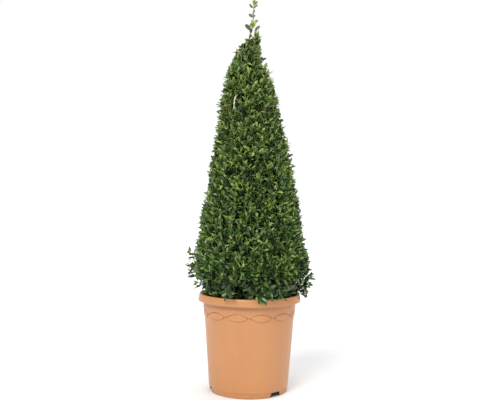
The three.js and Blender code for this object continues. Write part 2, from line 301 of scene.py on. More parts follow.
# The moulded pot, in mm.
POT_SIDES = 600
WALL_LOW, WALL_HIGH = 13.5, 176  # heights at which the wall's radius is given
RADIUS_LOW, RADIUS_HIGH = 100.4, 112.6
LOOPS = 12  # lens-shaped loops of the garland moulded round the collar
LOOP_STEP = 2 * math.pi / LOOPS
LOOP_HALF = 27.5  # half the length of a loop
LOOP_RISE = 9.3  # half its height
GARLAND = 197.2  # height of the garland's middle line
COLLAR = 1.5  # how far the collar stands proud of the wall
COLLAR_RADIUS = 115.5
COLLAR_LOW, COLLAR_HIGH = 184, 226
GROOVE_HALF = 0.75
PIT_ASIDE = 3.7  # how far the two pits are to the sides of each knot between loops
PIT_HALVES = (2.3, 2.1)  # half their width and height
FOOT_RADIUS = 98
NOTCHES = (43, 163, 283)  # degrees from the front towards +X
NOTCH_HEIGHT = 12.0
NOTCH_HALVES = (12.0, 19.0)  # half the width of a notch at its top and at its foot
GUTTER = 12  # height of the gutter under the pot
DRAINS = 6
DRAIN_RING = 85
DRAIN_RADIUS = 4.5
DRAIN_TOP = 13.8


def wall_radius(z):
    return RADIUS_LOW + (z - WALL_LOW) * (RADIUS_HIGH - RADIUS_LOW) / (WALL_HIGH - WALL_LOW)


def pot_outline():
    """Radius and height: the base, up the outside, over the rim, down inside and across the floor."""
    base = [(0, 0), (40, 0), (69, 0), (70, 0.6), (73.4, 11.4), (74.4, 12)]
    gutter = [(r, GUTTER) for r in np.arange(79.5, 91, 1.0)] + [(94.4, GUTTER)]
    foot = [(95.3, 11.3), (96, 0.5), (96.4, 0), (97.6, 0), (98, 0.5), (98.9, 10.8)]
    heel = [(99.2, 12.1), (99.9, 12.7)]
    low_rows = (13.6, 14.6, 20, 40, 60, 80, 100, 120, 140, 160, 172, 180, 184)
    low = [(wall_radius(z), z) for z in low_rows]
    garland = [(wall_radius(z), z) for z in np.arange(185.5, 222.1, 0.8)]
    neck = [(wall_radius(z), z) for z in (223.5, 225)]
    under = [(118.4, 229), (118.7, 240), (119.4, 241.2), (124.8, 241.4), (126.0, 240.4), (127.6, 229)]
    rim = [(128.0, 227.2), (128.6, 226.6), (129.2, 226.5), (129.9, 227.2), (130.0, 228.4)]
    brim = [(129.6, 231), (128.4, 238), (127.5, 243), (127.1, 244.1), (126.3, 244.8)]
    lip = [(125.3, 245), (124, 245), (123.1, 244.7), (122.5, 244), (120.8, 243.2), (119.6, 241.6)]
    inside = [(117.6, 238), (115.6, 226), (113.4, 190), (110.6, 176), (98.4, 16)]
    floor = [(96.4, 14), (72, 14), (68, 2), (0, 2)]
    outside = base + gutter + foot + heel + low + garland + neck
    return outside + under + rim + brim + lip + inside + floor


def loop_height(across):
    """Half the height of a loop, at a distance across from its middle."""
    return LOOP_RISE * (1 - np.clip(np.abs(across) / LOOP_HALF, 0, 1) ** 2) ** 0.9


def from_loop(angle):
    """How far along the collar a place is from the middle of its loop."""
    return (angle % LOOP_STEP - LOOP_STEP / 2) * COLLAR_RADIUS


def from_knot(angle):
    """How far along the collar a place is from the nearest knot between loops."""
    return ((angle + LOOP_STEP / 2) % LOOP_STEP - LOOP_STEP / 2) * COLLAR_RADIUS


def garland_relief(angle, z):
    """Height in mm of the moulding over the wall, on the collar."""
    across, side = from_loop(angle), from_knot(angle)
    away = z - GARLAND
    share = np.clip(np.abs(across) / LOOP_HALF, 0, 1)
    arc = loop_height(across)
    height = COLLAR * smoothstep(away, -arc - 1.0, -arc + 1.0)
    lower, upper = away + arc, away - arc
    for line, depth in ((lower, 1.4), (upper, 1.5)):
        height -= depth * np.exp(-((line / 0.9) ** 2))
    inside = (np.abs(away) < arc) * (1 - (away / np.maximum(arc, 0.1)) ** 2)
    height += 0.7 * inside * (1 - share**2)
    height += 1.3 * np.exp(-((side / 2.0) ** 2) - ((away / 2.6) ** 2))
    for x in (-PIT_ASIDE, PIT_ASIDE):
        height -= 1.6 * np.exp(-(((side - x) / 1.5) ** 2) - ((away / 1.9) ** 2))
    for x, up, lean in ((0, 15.5, 0), (-6.2, 11.5, 0.5), (6.2, 11.5, -0.5)):
        along = (away - up) + lean * (side - x)
        over = (side - x) - lean * (away - up)
        height += 0.9 * np.exp(-((over / 1.9) ** 2) - ((along / 3.6) ** 2))
    return height * smoothstep(z, 184.2, 186.5) * (1 - 0.45 * smoothstep(z, 216, 221))


def in_groove(angle, z):
    """Whether a place on the collar lies in one of the moulded lines."""
    away = z - GARLAND
    arc = loop_height(from_loop(angle))
    return np.minimum(np.abs(away + arc), np.abs(away - arc)) < GROOVE_HALF


def in_pit(angle, z):
    """Whether a place on the collar lies in one of the two pits beside each knot."""
    wide, tall = PIT_HALVES
    return ((np.abs(from_knot(angle)) - PIT_ASIDE) / wide) ** 2 + ((z - GARLAND) / tall) ** 2 < 1


def in_drain(x, y):
    """Whether a place in the gutter under the pot lies in one of the drain holes."""
    turn = 2 * math.pi / DRAINS
    angle = (np.arctan2(y, x) + turn / 2) % turn - turn / 2
    r = np.hypot(x, y)
    return np.hypot(r * np.cos(angle) - DRAIN_RING, r * np.sin(angle)) < DRAIN_RADIUS


def make_pot(sides=POT_SIDES):
    outline = np.array(pot_outline())
    angle = np.linspace(0, 2 * math.pi, sides, endpoint=False)
    r = np.repeat(outline[:, :1], sides, 1)
    z = np.repeat(outline[:, 1:], sides, 1)
    turn = np.repeat(angle[None], len(outline), 0)
    on_wall = (z > COLLAR_LOW) & (z < COLLAR_HIGH) & (np.abs(r - wall_radius(z)) < 0.01)
    relief = np.where(z < COLLAR_HIGH - 3, garland_relief(turn, z), 0.55 * COLLAR)
    r = np.where(on_wall, r + relief, r)
    foot = (r > 94.9) & (z < 12.2) & (r < 99.5)
    for notch in NOTCHES:
        away = np.abs((np.degrees(turn) - notch + 180) % 360 - 180) * math.pi / 180 * FOOT_RADIUS
        lift = NOTCH_HEIGHT * (1 - smoothstep(away, *NOTCH_HALVES))
        z = np.where(foot, np.maximum(z, lift), z)

    x, y = r * np.sin(turn), -r * np.cos(turn)
    z = np.where((z == GUTTER) & in_drain(x, y), DRAIN_TOP, z)

    # The first and last points of the outline are on the axis, the rest are rings.
    verts = np.stack([x, y, z], -1)[1:-1].reshape(-1, 3)
    verts = np.vstack([verts, [[0, 0, outline[0, 1]], [0, 0, outline[-1, 1]]]]) * MM
    low, high = len(verts) - 2, len(verts) - 1
    j = np.arange(sides)
    k = (j + 1) % sides
    i = np.arange(len(outline) - 3)[:, None] * sides
    quads = np.stack([i + j, i + k, i + sides + k, i + sides + j], -1).reshape(-1, 4)
    last = i[-1] + sides
    bottom = np.stack([k, j, np.full(sides, low)], -1)
    floor = np.stack([last + j, last + k, np.full(sides, high)], -1)
    faces = np.vstack([quads[:, [0, 1, 2]], quads[:, [0, 2, 3]], bottom, floor])

    x, y, z = (verts[faces].mean(1) / MM).T
    around = np.arctan2(x, -y) % (2 * math.pi)
    on_collar = (np.hypot(x, y) > 109) & (z > 185) & (z < 210)
    drain = (z > GUTTER + 0.1) & (z < DRAIN_TOP + 0.1) & in_drain(x, y)
    # Faces in the pits and grooves take the plastics with painted shade; drain holes take compost.
    places = [on_collar & in_pit(around, z), on_collar & in_groove(around, z), drain]
    kind = np.select(places, [2, 1, 3], 0)
    surfaces = [pot_plastic, groove_painted_shade_plastic, pit_painted_shade_plastic, compost]
    pot = mesh_piece("pot_moulded", verts, faces, surfaces, kind)
    register(pot, "pot", "pot")


# ---------------------------------------------------------------- compost


SOIL_RADIUS = 0.1128


def make_soil(rings=46, sides=150):
    """Grainy compost, a little lower towards the wall."""
    low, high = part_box("potting_soil")
    top = high.z + 0.0004
    share = np.linspace(0.01, 1, rings)[:, None]
    angle = np.linspace(0, 2 * math.pi, sides, endpoint=False)[None]
    x = SOIL_RADIUS * share * np.cos(angle)
    y = SOIL_RADIUS * share * np.sin(angle)
    grain = (
        np.sin(310 * x + 4 * np.sin(190 * y))
        * np.sin(290 * y + 5 * np.sin(230 * x))
        + 0.8 * rng.normal(size=x.shape)
    )
    z = top - 0.0015 - 0.007 * smoothstep(share, 0.55, 1) + 0.0011 * grain
    skirt = np.stack([x[-1] * 0.86, y[-1] * 0.86, np.full(sides, low.z + 0.004)], -1)
    middles = [[0, 0, top - 0.0015], [0, 0, low.z + 0.004]]
    verts = np.vstack([np.stack([x, y, z], -1).reshape(-1, 3), skirt, middles])
    i = np.arange(rings)[:, None] * sides
    j = np.arange(sides)[None]
    k = (j + 1) % sides
    quads = np.stack([i + j, i + sides + j, i + sides + k, i + k], -1).reshape(-1, 4)
    j = np.arange(sides)
    k = (j + 1) % sides
    centre, under, last = len(verts) - 2, len(verts) - 1, rings * sides
    cap = np.stack([j, k, np.full(sides, centre)], -1)
    bottom = np.stack([last + k, last + j, np.full(sides, under)], -1)
    faces = np.vstack([quads[:, [0, 1, 2]], quads[:, [0, 2, 3]], cap, bottom])
    register(mesh_piece("compost", verts, faces, [compost]), "soil", "potting_soil")


# ---------------------------------------------------------------- limbs


def trunk_line():
    """Centre and radius of the CAD trunk's rings, by height."""
    points = node_points("trunk")
    heights = np.unique(np.round(points[:, 2], 4))
    rows = []
    for height in heights:
        ring = points[np.abs(points[:, 2] - height) < 2e-4]
        if len(ring) < 5:
            continue
        centre = (ring.max(0) + ring.min(0)) / 2
        rows.append([*centre[:2], height, np.linalg.norm((ring - centre)[:, :2], axis=1).max()])
    return np.array(rows)


TRUNK = trunk_line()
TRUNK_LOW, TRUNK_TOP = TRUNK[0, 2], TRUNK[-1, 2]


def stem_at(z):
    """Where the trunk's centre is at a height: x and y."""
    return np.stack([np.interp(z, TRUNK[:, 2], TRUNK[:, k]) for k in (0, 1)], -1)


def smooth_path(points, count):
    """A Catmull-Rom curve through points (m, 3), resampled to count points."""
    points = np.asarray(points, float)
    padded = np.vstack([2 * points[0] - points[1], points, 2 * points[-1] - points[-2]])
    t = np.linspace(0, len(points) - 1 - 1e-9, count)
    k = t.astype(int)
    f = (t - k)[:, None]
    a, b, c, d = (padded[k + i] for i in range(4))
    square, cube = 2 * a - 5 * b + 4 * c - d, 3 * b - a - 3 * c + d
    return 0.5 * (2 * b + (c - a) * f + square * f**2 + cube * f**3)


def tubes(paths, radii, sides):
    """Closed tubes along paths (n, k, 3) with radii (n, k): vertices and triangles."""
    paths = np.asarray(paths, float)
    n, k, _ = paths.shape
    along = unit(np.gradient(paths, axis=1))
    chord = unit(paths[:, -1] - paths[:, 0])
    other = np.where(np.abs(chord[:, 2:]) < 0.9, [[0, 0, 1.0]], [[1.0, 0, 0]])
    side = np.cross(chord, other)[:, None]
    side = unit(side - along * np.sum(side * along, -1, keepdims=True))
    third = np.cross(along, side)
    turn = np.linspace(0, 2 * math.pi, sides, endpoint=False)
    ring = (
        np.cos(turn)[None, None, :, None] * side[:, :, None]
        + np.sin(turn)[None, None, :, None] * third[:, :, None]
    )
    verts = (paths[:, :, None] + ring * np.asarray(radii)[:, :, None, None]).reshape(-1, 3)
    tube = np.arange(n)[:, None, None] * k * sides
    row = np.arange(k - 1)[None, :, None] * sides
    j = np.arange(sides)[None, None]
    nxt = (j + 1) % sides
    a, b = tube + row + j, tube + row + nxt
    c, d = b + sides, a + sides
    quads = np.stack([a, b, c, d], -1).reshape(-1, 4)
    tris = np.vstack([quads[:, [0, 1, 2]], quads[:, [0, 2, 3]]])
    ends = (np.arange(n)[:, None] * k) * sides
    fans = []
    for i in range(1, sides - 1):
        last = ends + (k - 1) * sides
        fans.append(np.concatenate([last, last + i, last + i + 1], 1))
        fans.append(np.concatenate([ends, ends + i + 1, ends + i], 1))
    return verts, np.vstack([tris, *fans])


def bark_tube(name, path, radii, sides, replaced, ridge, seed, bark):
    """One limb with bark relief: shallow ridges that run along it and wander."""
    path = np.asarray(path)
    verts, tris = tubes(path[None], np.asarray(radii)[None], sides)
    grid = verts.reshape(len(path), sides, 3)
    centre = path[:, None]
    height = np.linspace(0, 1, len(path))[:, None] * len(path)
    turn = np.linspace(0, 2 * math.pi, sides, endpoint=False)[None]
    wander = np.sin(0.21 * height + seed) + 0.6 * np.sin(0.47 * height + 2 * seed)
    relief = (
        np.sin(5 * turn + wander)
        + 0.6 * np.sin(9 * turn - 1.3 * wander + seed)
        + 0.5 * np.sin(0.9 * height + 3 * np.sin(turn + seed))
        + 0.5 * np.random.default_rng(seed).normal(size=(len(path), sides))
    )
    grid = centre + (grid - centre) * (1 + ridge * relief[..., None])
    register(mesh_piece(name, grid.reshape(-1, 3), tris, [bark]), "bark", replaced)


def make_trunk():
    """The trunk and leader, with more rings in the root flare than above it."""
    flare = np.linspace(TRUNK_LOW, TRUNK_LOW + 0.04, 16)
    z = np.concatenate([flare, np.linspace(TRUNK_LOW + 0.044, TRUNK_TOP, 180)])
    path = np.column_stack([stem_at(z), z])
    radius = np.interp(z, TRUNK[:, 2], TRUNK[:, 3])
    bark_tube("trunk_with_bark", path, radius, 20, "trunk", 0.055, 3, trunk_bark)


def limb_line(name):
    """Four points up the centre line of a CAD bough."""
    points = node_points(name)
    heights = np.linspace(points[:, 2].min(), points[:, 2].max(), 4)
    return [points[np.abs(points[:, 2] - z) < 0.008].mean(0) for z in heights]


# Where each main bough goes on inside the crown: height, share of the crown's radius, and heading.
BOUGH_ROUTES = {
    "bough_left": [(0.36, 0.52, 176), (0.47, 0.55, 186), (0.58, 0.5, 180), (0.68, 0.55, 170)],
    "bough_front": [
        (0.38, 0.5, 236),
        (0.52, 0.55, 232),
        (0.690, 0.78, 232),
        (0.706, 0.91, 234),
        (0.732, 0.91, 234),
        (0.752, 0.7, 235),
        (0.80, 0.5, 236),
    ],
    "bough_right": [(0.37, 0.55, 340), (0.5, 0.5, 350), (0.62, 0.5, 4), (0.74, 0.5, 12)],
    "bough_back": [(0.36, 0.5, 82), (0.5, 0.5, 88), (0.63, 0.48, 74), (0.71, 0.5, 70)],
}

OUTSIDE = 0.4  # farther from the stem than any of the crown
CLOSE = 0.004  # a surface nearer to the stem's centre than this is none
NO_RADIUS = 0.006
BOUGH_RINGS = 90
BOUGH_TAPER = ((0, 0.15, 0.6, 1), (5.0, 4.2, 2.4, 1.3))  # share of the length, and radius in mm
GOLDEN_ANGLE = math.pi * (3 - math.sqrt(5))
BRANCH_HEIGHTS = (0.285, 0.868, 0.0105)  # side branches off the trunk: from, to and step
BRANCH_TOP = 0.88  # none of those ends higher
BRANCH_RINGS = slice(22, 88, 4)  # rings of a bough at which its side branches start

cone_tree = BVHTree.FromPolygons(
    [v.co for v in nodes["foliage_cone"].data.vertices],
    [p.vertices for p in nodes["foliage_cone"].data.polygons],
)
cone_low, cone_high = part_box("foliage_cone")


def crown_surface(angle, z):
    """Where a level ray from outside towards the stem meets the crown: point and outward normal."""
    sx, sy = stem_at(z)
    way = Vector((math.cos(angle), math.sin(angle), 0))
    start = Vector((sx, sy, z)) + OUTSIDE * way
    hit, normal, _, _ = cone_tree.ray_cast(start, -way)
    if hit is None or (hit - Vector((sx, sy, z))).dot(way) < CLOSE:
        return None
    return hit, normal


def crown_radius(angle, z):
    """How far the crown's surface is from the stem, or a little where there is none."""
    found = crown_surface(angle, z)
    if found is None:
        return NO_RADIUS
    return (found[0] - Vector((*stem_at(z), z))).length


def in_crown(angle, z, share):
    """A place a share of the way from the stem to the crown's surface, and how far out that is."""
    sx, sy = stem_at(z)
    r = share * crown_radius(angle, z)
    return np.array([sx + r * math.cos(angle), sy + r * math.sin(angle), z]), r


def make_boughs():
    """The four main boughs, from the CAD bough's foot on up into the crown."""
    paths = []
    for k, (name, route) in enumerate(BOUGH_ROUTES.items()):
        points = limb_line(name)
        points += [in_crown(math.radians(heading), z, share)[0] for z, share, heading in route]
        path = smooth_path(points, BOUGH_RINGS)
        thick = np.interp(np.linspace(0, 1, BOUGH_RINGS), *BOUGH_TAPER) * MM
        bark_tube(name + "_with_bark", path, thick, 14, name, 0.05, 11 + k, bough_bark)
        paths.append(path)
    return paths


def make_laterals(paths, bare):
    """Side branches as one piece: golden angles round the trunk, and both sides of the boughs."""
    lines, thick = [], []

    def branch(foot, angle, z_end, share):
        end, r = in_crown(angle, z_end, share)
        middle = foot + 0.5 * (end - foot) + [0, 0, -0.12 * np.linalg.norm(end - foot)]
        lines.append(smooth_path([foot, middle, end], 10))
        thick.append(np.linspace(2.2, 0.9, 10) * MM * (0.6 + 0.6 * min(1, r / 0.1)))

    for k, z in enumerate(np.arange(*BRANCH_HEIGHTS)):
        foot = np.array([*stem_at(z), z])
        rise = rng.uniform(0.35, 0.8) * crown_radius(k * GOLDEN_ANGLE, z)
        branch(foot, k * GOLDEN_ANGLE, min(z + rise, BRANCH_TOP), rng.uniform(0.66, 0.84))
    for path in paths:
        for k, foot in enumerate(path[BRANCH_RINGS]):
            if np.linalg.norm(bare - foot, axis=1).min() < BRANCH_GAP:
                continue
            sx, sy = stem_at(foot[2])
            turn = (1 if k % 2 else -1) * rng.uniform(0.25, 0.8)
            heading = math.atan2(foot[1] - sy, foot[0] - sx) + turn
            branch(foot, heading, foot[2] + rng.uniform(0.015, 0.06), rng.uniform(0.78, 0.9))
    lines, thick = np.array(lines), np.array(thick)
    verts, tris = tubes(lines, thick, 6)
    register(mesh_piece("side_branches", verts, tris, [twig_bark]), "bark")
    return lines


# ---------------------------------------------------------------- leaves

# Leaf outline: share of the length and of the half width, from the petiole to the blunt tip.
LEAF_ROWS = np.array([(0.16, 0.52), (0.40, 0.96), (0.66, 1.0), (0.89, 0.66)])


def leaf_template():
    """Rows of (along, across) and the triangles between them."""
    points = [(0.0, 0.0)]
    for along, half in LEAF_ROWS:
        points += [(along, -half), (along, 0.0), (along, half)]
    points.append((0.985, 0.0))
    tris = [(0, 2, 1), (0, 3, 2)]
    for row in range(3):
        a = 1 + 3 * row
        for k in (0, 1):
            tris += [(a + k, a + k + 1, a + k + 4), (a + k, a + k + 4, a + k + 3)]
    tris += [(10, 11, 13), (11, 12, 13)]
    return np.array(points), np.array(tris)


LEAF_POINTS, LEAF_TRIS = leaf_template()
MIDRIB = LEAF_POINTS[:, 1] == 0


def crease_midribs(mesh):
    """Shade the two halves of each leaf apart."""
    ends = np.empty(2 * len(mesh.edges), np.int32)
    mesh.edges.foreach_get("vertices", ends)
    on_rib = MIDRIB[ends % len(LEAF_POINTS)].reshape(-1, 2).all(1)
    mesh.attributes.new("sharp_edge", "BOOLEAN", "EDGE").data.foreach_set("value", on_rib)


class Leaves:
    """Leaves gathered as arrays, then joined into pieces."""

    def __init__(self):
        self.rows = []

    def add(self, at, way, normal, length, width, fold, shade):
        """Leaves at points at, growing along way, with their upper side towards normal."""
        sizes = [np.broadcast_to(value, len(at)) for value in (length, width, fold, shade)]
        self.rows.append(np.column_stack([at, way, normal, *sizes]))

    def mesh_arrays(self):
        rows = np.vstack(self.rows)
        at, way, normal = rows[:, 0:3], unit(rows[:, 3:6]), rows[:, 6:9]
        length, width, fold, shade = rows[:, 9:].T
        n = len(rows)
        normal = unit(normal - way * np.sum(normal * way, -1, keepdims=True))
        across = np.cross(normal, way)
        bend = rng.normal(*LEAF_BEND, n)
        skew = rng.normal(0, LEAF_SKEW, n)
        u, v = LEAF_POINTS[:, 0], LEAF_POINTS[:, 1]
        along = length[:, None] * u[None]
        side = 0.5 * width[:, None] * v[None] + (length * skew)[:, None] * (u * u)[None]
        rise = (0.5 * fold * width)[:, None] * np.abs(v)[None] ** 0.8
        lift = rise - (bend * length)[:, None] * (u * u)[None]
        verts = (
            at[:, None]
            + along[..., None] * way[:, None]
            + side[..., None] * across[:, None]
            + lift[..., None] * normal[:, None]
        )
        return verts, shade.astype(int)

    def build(self, name, replaced):
        """Join the leaves into pieces under the limit, from the lowest up."""
        verts, shade = self.mesh_arrays()
        per_piece = MOST_TRIANGLES // len(LEAF_TRIS)
        count = math.ceil(len(verts) / per_piece)
        order = np.argsort(verts[:, 0, 2], kind="stable")
        for k, chosen in enumerate(np.array_split(order, count)):
            corner = np.arange(len(chosen))[:, None, None] * len(LEAF_POINTS)
            tris = (corner + LEAF_TRIS[None]).reshape(-1, 3)
            used, indices = np.unique(shade[chosen], return_inverse=True)
            indices = np.repeat(indices, len(LEAF_TRIS))
            title = name if count == 1 else f"{name}_{k + 1}"
            materials = [leaf_materials[i] for i in used]
            piece = mesh_piece(title, verts[chosen].reshape(-1, 3), tris, materials, indices)
            crease_midribs(piece.data)
            register(piece, "foliage", replaced)


TWIG_RINGS = 5


class Twigs:
    """Fine twigs gathered as short paths, then joined into a piece."""

    def __init__(self):
        self.paths, self.radii = [], []

    def add(self, path, radii):
        self.paths.append(smooth_path(path, TWIG_RINGS))
        here, given = np.linspace(0, 1, TWIG_RINGS), np.linspace(0, 1, len(radii))
        self.radii.append(np.interp(here, given, radii))

    def build(self, name):
        verts, tris = tubes(np.array(self.paths), np.array(self.radii), 3)
        register(mesh_piece(name, verts, tris, [twig_bark]), "bark")


def turned_about(way, start, angle):
    """start turned about the axis way by angle, all as rows."""
    c, s = np.cos(angle)[:, None], np.sin(angle)[:, None]
    along = way * np.sum(way * start, -1, keepdims=True)
    return start * c + np.cross(way, start) * s + along * (1 - c)


# Heights at which shoots start to get the sun's and the top's tint, and at which all of them do.
LIGHT_ZONES = np.array(((0.3, 0.79), (0.8, 0.90)))


def grow_shoot(leaves, base, tip, pairs, size, shade, light, spread=(62, 28)):
    """A leafy shoot from base to tip: opposite pairs, each turned 90 degrees from the last."""
    base, tip = np.asarray(base, float), np.asarray(tip, float)
    way = unit(tip - base)
    length = np.linalg.norm(tip - base)
    other = unit(np.cross(way, [0.31, 0.77, 0.55]))
    spin = rng.uniform(0, math.pi)
    share = np.linspace(0.12, 1.0, pairs) + rng.normal(0, 0.025, pairs)
    k = np.arange(pairs)
    turn = np.concatenate([spin + k * math.pi / 2, spin + k * math.pi / 2 + math.pi])
    turn = turn + rng.normal(0, 0.32, 2 * pairs)
    share = np.concatenate([share, share])
    ways = np.repeat(way[None], 2 * pairs, 0)
    out = turned_about(ways, np.repeat(other[None], 2 * pairs, 0), turn)
    lean = np.radians(np.interp(share, [0, 1], spread) + rng.normal(0, 13, 2 * pairs))[:, None]
    along = ways * np.cos(lean) + out * np.sin(lean)
    normal = ways * np.sin(lean) - out * np.cos(lean)
    normal = unit(normal + 0.22 * light[None] + rng.normal(0, 0.20, normal.shape))
    scale = size * np.interp(share, [0, 0.55, 1], [0.98, 1.06, 0.84])
    scale = scale * rng.uniform(0.82, 1.16, 2 * pairs)
    slim = np.interp(share, [0, 0.5, 1], [1.06, 1.0, 0.80]) * rng.uniform(0.86, 1.12, 2 * pairs)
    fold = np.interp(share, [0, 1], [0.14, 0.5]) + rng.uniform(-0.1, 0.14, 2 * pairs)
    at = base[None] + way[None] * (share * length)[:, None] + out * LEAF_FOOT
    young = (share > 0.62).astype(int) + (share > 0.9)
    young = young - (share < 0.3) * (rng.random(2 * pairs) < 0.5)
    shades = np.clip(shade + young + rng.normal(0, 1.15, 2 * pairs).round(), 0, SHADES - 1)
    sun, top = rng.random(2) < smoothstep(tip[2], *LIGHT_ZONES)
    shades = shades + SHADES * (2 if top else int(sun))
    leaves.add(at, along, normal, LEAF_LENGTH * scale, LEAF_WIDTH * scale * slim, fold, shades)


SHADE_ODDS = np.array([0.18, 0.36, 0.32, 0.12, 0.02])


def pick_shade(depth):
    """An index into the leaf colours: mostly dark to middle greens, made darker by depth as painted
    shade.
    """
    count = len(SHADE_ODDS)
    odds = SHADE_ODDS * np.exp(-depth * np.arange(count))
    return int(rng.choice(count, p=odds / odds.sum()))


def surface_samples(count):
    """Evenly spread places on the crown's side, top included."""
    z = np.linspace(cone_low.z + 0.004, cone_high.z - 0.003, 400)
    size = np.array([max(crown_radius(0.7, h), 0.012) for h in z])
    total = np.cumsum(size)
    golden = (math.sqrt(5) - 1) / 2
    for k in range(count):
        share = (k + 0.5 + rng.uniform(-0.35, 0.35)) / count
        height = float(np.interp(share * total[-1], total, z))
        angle = 2 * math.pi * (k * golden) + rng.normal(0, 0.05)
        found = crown_surface(angle, height)
        if found:
            yield np.array(found[0]), np.array(found[1])


def underside_samples(count):
    """Places on the crown's hollow underside."""
    for _ in range(count):
        r = random_radius(*UNDERSIDE_RING)
        angle = rng.uniform(0, 2 * math.pi)
        start = Vector((r * math.cos(angle), r * math.sin(angle), UNDERSIDE_BELOW))
        hit, normal, _, _ = cone_tree.ray_cast(start, Vector(UP))
        if hit:
            yield np.array(hit), np.array(normal)


def skirt_samples(count):
    """Places low under the crown, over the compost and inside the rim, but for a few open gaps."""
    edge, slope = SKIRT_FLARE
    for _ in range(count):
        heading = rng.uniform(0, 360)
        if any(abs((heading - gap + 180) % 360 - 180) < half for gap, half in SKIRT_GAPS):
            continue
        angle = math.radians(heading)
        out = np.array([math.cos(angle), math.sin(angle), 0])
        r = random_radius(*SKIRT_RING)
        yield out * r + UP * (rng.uniform(*SKIRT_HEIGHT) + slope * max(0.0, r - edge)), out


def swelling(point, wave, seed):
    """Slow, repeatable unevenness of a place, about -1 to 1."""
    k = 2 * math.pi / wave
    x, y, z = point
    a = math.sin(k * x + 1.3 * seed + 1.7 * math.sin(0.6 * k * z + seed))
    b = math.sin(k * y + 2.1 * seed + 1.5 * math.sin(0.7 * k * x - seed))
    c = math.sin(0.8 * k * z + 0.7 * seed + 1.6 * math.sin(0.5 * k * y + 2 * seed))
    return (a + b + c) / 3


def is_open(place):
    """Whether the crown's shell is open at a place: here and there, and more low at the two sides."""
    aside = abs(place[0]) / np.hypot(place[0], place[1])
    low = 1 - smoothstep(place[2], 0.28, 0.40)
    return swelling(place, 0.028, 17) > OPEN_ABOVE - 0.85 * low * aside**4


def make_crown(lines, bare):
    """Leafy shoots all over the crown, but for a gap where the bare bough runs under the surface."""
    leaves, twigs = Leaves(), Twigs()
    limb_points = lines.reshape(-1, 3)
    tree = KDTree(len(limb_points))
    for i, p in enumerate(limb_points):
        tree.insert(p, i)
    tree.balance()

    def shoot(surface, normal, depth, lean_up, leaf_painted_shade):
        """A shoot that ends a depth under a place, on a twig from the nearest side branch."""
        d = unit(0.52 * normal + lean_up * UP + np.clip(rng.normal(0, 0.36, 3), -0.7, 0.7))
        clump = 0.5 * swelling(surface, 0.045, 5) + 0.5 * swelling(surface, 0.026, 9)
        reach = SHOOT_REACH - depth + 0.0030 * clump + np.clip(rng.normal(0, 0.0036), -0.008, 0.006)
        tip = surface + normal * reach
        length = rng.uniform(*SHOOT_LENGTH)
        base = tip - d * length
        pairs = int(rng.integers(3, 6))
        light = unit(0.55 * normal + 0.8 * UP)
        shade = pick_shade(leaf_painted_shade)
        grow_shoot(leaves, base, tip, pairs, rng.uniform(0.86, 1.1), shade, light)
        _, index, _ = tree.find(base - 0.01 * UP)
        foot = limb_points[index]
        middle = 0.5 * (foot + base) + 0.12 * np.linalg.norm(base - foot) * (normal - UP) * 0.5
        twigs.add([foot, middle, base, tip], [0.0011, 0.0009, 0.0007, 0.0004])

    for surface, normal in surface_samples(SHELL_SHOOTS):
        if is_open(surface) or np.linalg.norm(bare - surface, axis=1).min() < BARE_GAP:
            continue
        # Painted light and shade: shell leaves a little lighter high up and darker low down.
        low = 1 - smoothstep(surface[2], 0.24, 0.46)
        high = smoothstep(surface[2], 0.62, 0.86)
        shoot(surface, normal, 0.0, 0.76, 0.10 * low - 0.16 * high)
    # Shoots under the crown, deep inside it and low over the compost take darker leaf colours:
    # painted shade.
    for surface, normal in underside_samples(UNDERSIDE_SHOOTS):
        out = unit(np.array([surface[0], surface[1], 0]))
        shoot(surface, unit(0.5 * normal + 0.8 * out), 0.006, 0.1, 0.4)
    for surface, normal in surface_samples(INNER_SHOOTS):
        shoot(surface, normal, rng.uniform(*INNER_DEPTH), 0.7, 0.4)
    for place, out in skirt_samples(SKIRT_SHOOTS):
        shoot(place, out, 0.0, 0.15, 0.35)
    leaves.build("crown_leaves", "foliage_cone")
    twigs.build("crown_twigs")


# ---------------------------------------------------------------- loose growth


